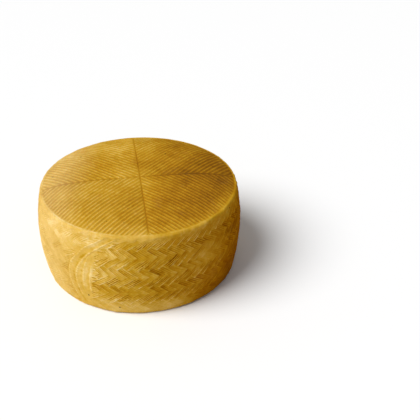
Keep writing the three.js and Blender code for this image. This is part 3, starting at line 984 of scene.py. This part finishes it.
def rind_material():
    shader = Shader("rind")
    metres = shader.node("ShaderNodeTexCoord").outputs["Object"]
    place = shader.stretched(metres, (MM, MM, MM))
    strand = shader.node("ShaderNodeUVMap", uv_map="strands").outputs[0]
    marks = shader.node("ShaderNodeAttribute", attribute_name="print")
    parts = shader.node("ShaderNodeSeparateColor")
    shader.put(parts.inputs[0], marks.outputs["Color"])
    rubbed_and_highlit, stain_and_shade, fibres = parts.outputs
    tone = marks.outputs["Alpha"]

    # Fibres of the grass: fine lines along a strand, broken up by long streaks
    across = shader.node("ShaderNodeSeparateXYZ")
    shader.put(across.inputs[0], strand)
    bend = shader.math("MULTIPLY", shader.noise(shader.stretched(strand, (3.0, 8.0, 1.0)), 1.0), 2.0)
    phase = shader.math("MULTIPLY", across.outputs[0], 2 * math.pi / FIBRE_PITCH)
    wave = shader.math("SINE", shader.math("ADD", phase, bend))
    broken = shader.ease(shader.noise(shader.stretched(strand, (1.8, 3.2, 1.0)), 1.0), 0.32, 0.48)
    lines = shader.product(shader.ease(wave, -0.8, 0.3, 1.0, 0.0), fibres, broken)
    streak = shader.noise(shader.stretched(strand, (1.25, 13.0, 1.0)), 1.0, 3.0)
    fibrous = shader.product(shader.math("SUBTRACT", streak, 0.5), fibres)

    # Lightness, and the colour that goes with it
    wide = shader.noise(place, 34.0, 3.0)
    middling = shader.noise(place, 10.0, 3.0, 0.6)
    small = shader.noise(place, 2.6, 3.0, 0.6)
    # Lightness from the mesh: the rind's own tone and wear, with painted light and shade
    broad = shader.node("ShaderNodeAttribute", attribute_name="lightness").outputs["Fac"]
    # Rubbed crests with their painted highlight, and stains with their painted shade, made uneven
    uneven_rub_and_highlight = shader.math("MULTIPLY", rubbed_and_highlit, shader.ease(small, 0.36, 0.6, 0.35, 1.2))
    uneven_stain_and_shade = shader.math("MULTIPLY", stain_and_shade, shader.ease(middling, 0.3, 0.62, 0.5, 1.2))
    calm = shader.ease(broad, 0.1, 0.6, 1.0, 0.45)
    cloudy = shader.product(shader.math("SUBTRACT", middling, 0.5), calm)
    light = shader.total(
        PLAIN_LIGHT, (broad, 0.34), (wide, 0.5), (cloudy, 0.42), (small, 0.22), (streak, 0.16), (tone, -0.1),
        (uneven_rub_and_highlight, 0.31), (uneven_stain_and_shade, -0.26), (lines, -0.42), (fibrous, 0.7))
    ramp = shader.node("ShaderNodeValToRGB")
    shader.put(ramp.inputs[0], light)
    elements = ramp.color_ramp.elements
    elements[0].position, elements[0].color = RIND_COLOURS[0]
    elements[1].position, elements[1].color = RIND_COLOURS[-1]
    for position, colour in RIND_COLOURS[1:-1]:
        elements.new(position).color = colour
    colour = ramp.outputs[0]

    # Tinted patches, a painted sheen on the left of the side and painted warm shade on its right, streaks in
    # the stains and painted shade, and specks of mould
    tan = shader.ease(shader.noise(place, 14.0, 2.0), 0.56, 0.74)
    colour = shader.mix(shader.product(tan, shader.ease(light, 0.35, 0.9, 0.1, 0.14)), colour, TAN)
    coordinates = shader.node("ShaderNodeSeparateXYZ")
    shader.put(coordinates.inputs[0], place)
    to_right, _, height_up = coordinates.outputs
    colour = shader.mix(shader.ease(height_up, 90.4, 91.2, 0.0, 0.06), colour, BLOOM)
    # Painted sheen: the left of the side, where the lamp falls, is paler
    colour = shader.mix(shader.ease(to_right, -85, -42, 0.13, 0.0), colour, PAINTED_SHEEN)
    # Painted warm shade: the right of the side, away from the lamp, is tinted warmer
    below_top = shader.ease(height_up, 88, 90.4, 1.0, 0.0)
    warm_shade_share = shader.product(shader.ease(to_right, 0, 80, 0.0, 0.18), below_top)
    colour = shader.mix(warm_shade_share, colour, WARM_SHADE_TINT)
    streaky = shader.ease(shader.noise(shader.stretched(strand, (3.0, 16.0, 1.0)), 1.0), 0.6, 0.74)
    colour = shader.mix(shader.product(stain_and_shade, streaky, 0.7), colour, OLIVE)
    warped = shader.node("ShaderNodeVectorMath", operation="ADD")
    shader.put(warped.inputs[0], place)
    wander = shader.node("ShaderNodeTexNoise")
    shader.put(wander.inputs["Vector"], place)
    wander.inputs["Scale"].default_value = 0.9
    shader.put(warped.inputs[1], wander.outputs["Color"])
    dots = shader.spots(warped.outputs[0], 7.5, 0.7, 0.7)
    colour = shader.mix(shader.math("MULTIPLY", dots, 0.8), colour, MOULD)
    shader.put(shader.surface.inputs["Base Color"], colour)

    # Relief that is too fine for the mesh
    height = shader.total(
        0.0, (small, 0.12), (middling, 0.35), (lines, -0.16), (fibrous, 0.35), (dots, -0.3))
    bump = shader.node("ShaderNodeBump")
    bump.inputs["Strength"].default_value = 1.0
    bump.inputs["Distance"].default_value = MM
    shader.put(bump.inputs["Height"], height)
    shader.put(shader.surface.inputs["Normal"], bump.outputs[0])
    shader.put(shader.surface.inputs["Roughness"], shader.ease(middling, 0.3, 0.7, 0.48, 0.62))
    shader.surface.inputs["Specular IOR Level"].default_value = 0.0
    shader.surface.inputs["Subsurface Weight"].default_value = 0.1
    shader.surface.inputs["Subsurface Radius"].default_value = (1.0, 0.5, 0.15)
    shader.surface.inputs["Subsurface Scale"].default_value = 0.002
    return shader.material


# Wheel
rind = bpy.data.objects.new("cheese_rind", to_mesh(build_wheel(), "cheese_rind"))
bpy.context.scene.collection.objects.link(rind)
rind.data.materials.append(rind_material())

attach(rind, "root")
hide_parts("cheese_wheel")

# Floor, in metres
FLOOR_SIZE = 12
FLOOR_DROP = 0.0002
FLOOR_COLOUR = (0.86, 0.86, 0.86, 1)
FLOOR_ROUGHNESS = 0.8

bpy.ops.mesh.primitive_plane_add(size=FLOOR_SIZE, location=(0, 0, -FLOOR_DROP))
floor = bpy.context.object
floor.name = "floor"
floor_material = bpy.data.materials.new("floor")
floor_material.use_nodes = True
floor_finish = floor_material.node_tree.nodes["Principled BSDF"].inputs
floor_finish["Base Color"].default_value = FLOOR_COLOUR
floor_finish["Roughness"].default_value = FLOOR_ROUGHNESS
floor.data.materials.append(floor_material)

# Camera: how far it looks down and is rolled, its lens in millimetres, and how far it is to the right
# of, above and behind the middle of the side, in radii of the belly
PITCH = math.radians(32.9)
ROLL = math.radians(-1.11)
LENS = 59.2
SENSOR_WIDTH = 36
TO_RIGHT = 0.696
ABOVE = 0.083
BEHIND = 6.967

forward = Vector((0, math.cos(PITCH), -math.sin(PITCH)))
right = Vector((math.cos(ROLL), -math.sin(ROLL) * math.sin(PITCH), -math.sin(ROLL) * math.cos(PITCH)))
up = Vector((math.sin(ROLL), math.cos(ROLL) * math.sin(PITCH), math.cos(ROLL) * math.cos(PITCH)))
from_middle = (right * TO_RIGHT + up * ABOVE - forward * BEHIND) * (BELLY_RADIUS * MM)
eye = from_middle + Vector((0, 0, SIDE_HEIGHT / 2 * MM))
camera_data = bpy.data.cameras.new("camera")
camera_data.lens = LENS
camera_data.sensor_width = SENSOR_WIDTH
camera = bpy.data.objects.new("camera", camera_data)
camera.matrix_world = Matrix.Translation(eye) @ Matrix((right, up, -forward)).transposed().to_4x4()
bpy.context.scene.collection.objects.link(camera)
bpy.context.scene.camera = camera

# Light: one broad soft lamp from the left and above, and an even white surround
KEY_STRENGTH = 3.6
KEY_SPREAD = math.radians(42)
KEY_WAY = Vector((0.58, 0.27, -0.766))
SURROUND_COLOUR = (1, 1, 1, 1)
SURROUND_STRENGTH = 0.3

key_data = bpy.data.lights.new("key", "SUN")
key_data.energy = KEY_STRENGTH
key_data.angle = KEY_SPREAD
key = bpy.data.objects.new("key", key_data)
key.rotation_euler = KEY_WAY.to_track_quat("-Z", "Y").to_euler()
bpy.context.scene.collection.objects.link(key)
world = bpy.data.worlds.new("studio")
world.use_nodes = True
surround = world.node_tree.nodes["Background"].inputs
surround["Color"].default_value = SURROUND_COLOUR
surround["Strength"].default_value = SURROUND_STRENGTH
bpy.context.scene.world = world
bpy.context.scene.view_settings.view_transform = "Standard"
